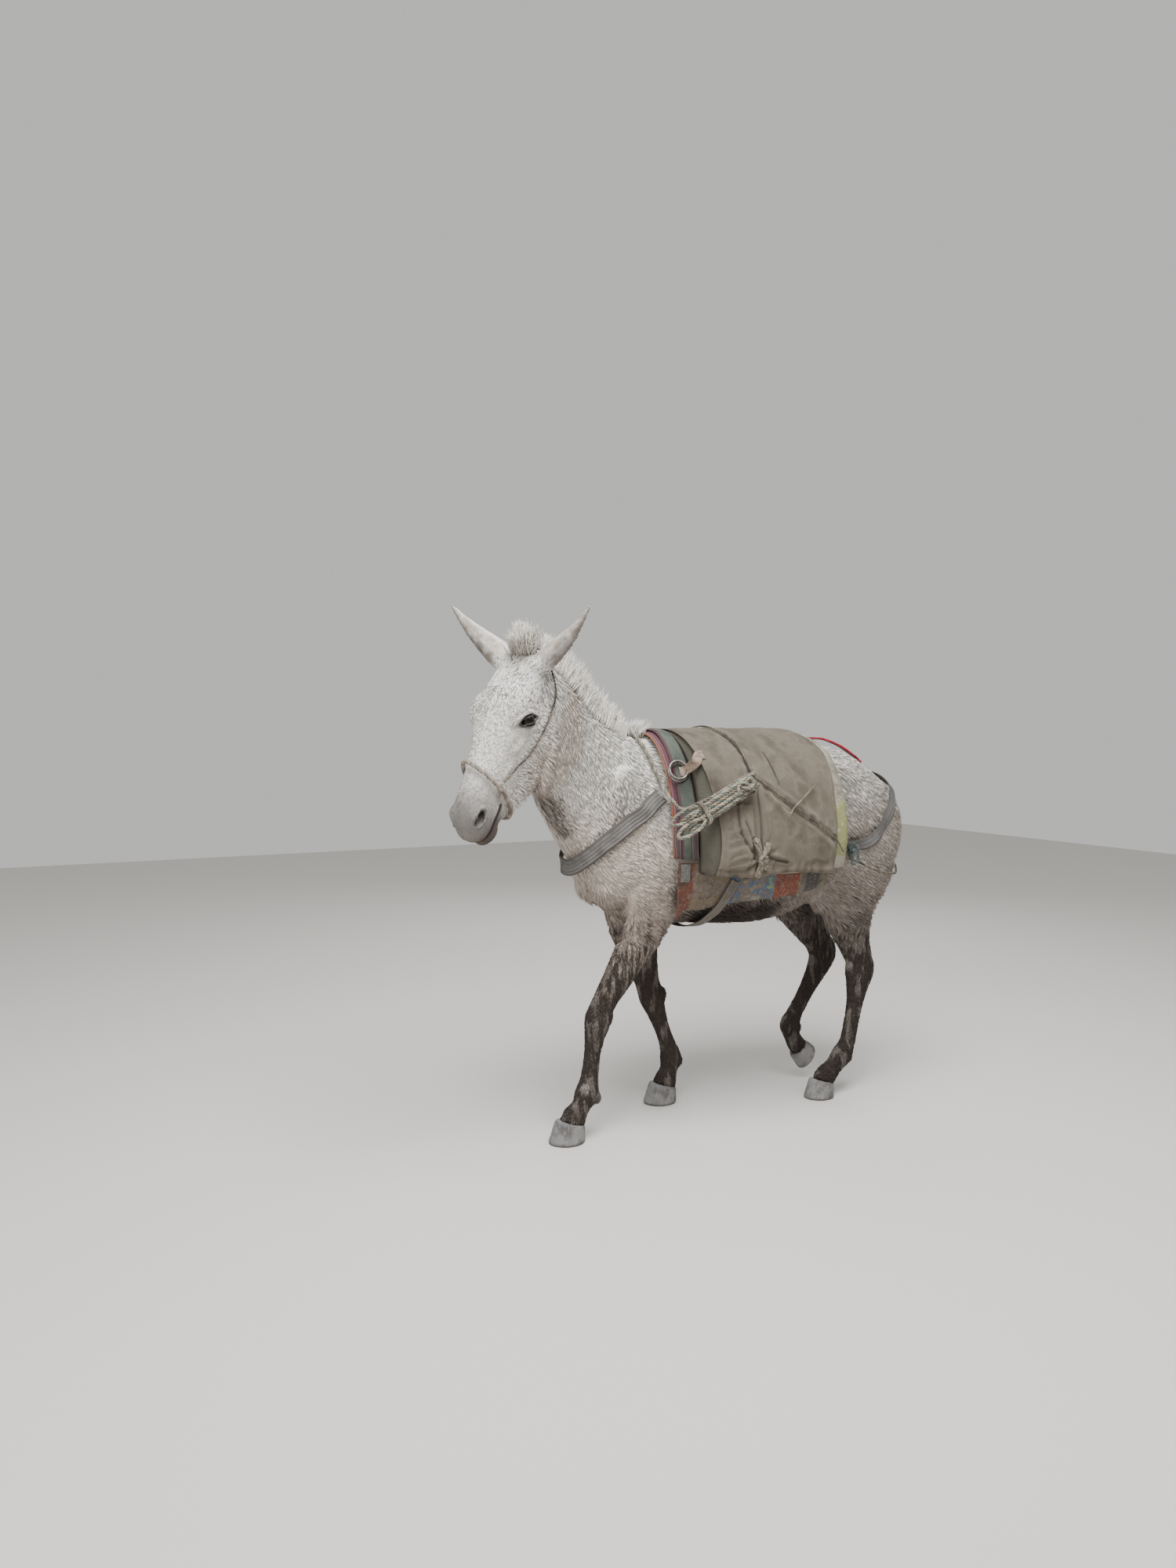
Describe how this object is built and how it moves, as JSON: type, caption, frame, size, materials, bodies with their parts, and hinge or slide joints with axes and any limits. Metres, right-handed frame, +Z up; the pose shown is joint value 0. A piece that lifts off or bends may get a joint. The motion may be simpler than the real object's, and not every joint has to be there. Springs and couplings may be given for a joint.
{
  "type": "mule",
  "caption": "Walking pack mule, a still life-size museum model, with shaggy coat, mane, rope halter, breast strap, padded pack under canvas, coiled rope and breeching.",
  "frame": {"origin": "on the floor under the middle of the outline of mule and pack, the coiled neck rope left out", "axes": "+Z up; the mule faces -Y; +X is its left side, the one with the coiled rope"},
  "size_m": [0.7724, 1.9375, 1.7881],
  "materials": {
    "coat": "matte",
    "leg_coat": "matte",
    "hair": "matte",
    "tail_hair": "matte",
    "horn": "matte",
    "eyeball": "gloss",
    "halter_rope": "matte",
    "lead_rope": "matte",
    "lashing": "matte",
    "webbing": "matte",
    "dark_webbing": "matte",
    "red_cord": "satin",
    "canvas": "matte",
    "burlap": "matte",
    "blanket": "matte",
    "pad_cloth": "matte",
    "printed_vinyl": "satin",
    "pale_plastic": "satin",
    "strap_leather": "matte",
    "steel": "worn"
  },
  "bodies": {
    "root": {"breast_strap": "webbing", "breeching_band": "webbing", "breeching_knot_left": "lashing", "breeching_knot_right": "lashing", "breeching_rope": "lashing", "canvas_tie_left": "canvas", "canvas_tie_right": "canvas", "crupper_cord": "red_cord", "crupper_cord_dark": "dark_webbing", "ear_left": "coat", "ear_right": "coat", "eye_left": "eyeball", "eye_right": "eyeball", "flap_front_left": "dark_webbing", "flap_front_right": "dark_webbing", "flap_rear_left": "dark_webbing", "flap_rear_right": "dark_webbing", "foreleg_left": "leg_coat", "foreleg_right": "leg_coat", "forelock": "hair", "girth": "webbing", "halter_crown": "halter_rope", "halter_noseband": "halter_rope", "head": "coat", "hindleg_left": "leg_coat", "hindleg_right": "leg_coat", "hoof_fore_left": "horn", "hoof_fore_right": "horn", "hoof_hind_left": "horn", "hoof_hind_right": "horn", "lash_end": "lashing", "lash_rope": "lashing", "mane": "hair", "neck": "coat", "neck_rope": "lead_rope", "neck_rope_hank": "lead_rope", "pack_band": "pad_cloth", "pack_blanket": "blanket", "pack_canvas": "canvas", "pack_liner_left": "printed_vinyl", "pack_liner_right": "printed_vinyl", "pack_pads": "burlap", "pack_panel_left": "pale_plastic", "pack_panel_right": "pale_plastic", "pack_ring_left": "steel", "pack_ring_right": "steel", "ring_strap_left": "strap_leather", "ring_strap_right": "strap_leather", "tail": "tail_hair", "torso": "coat"}
  },
  "joints": []
}
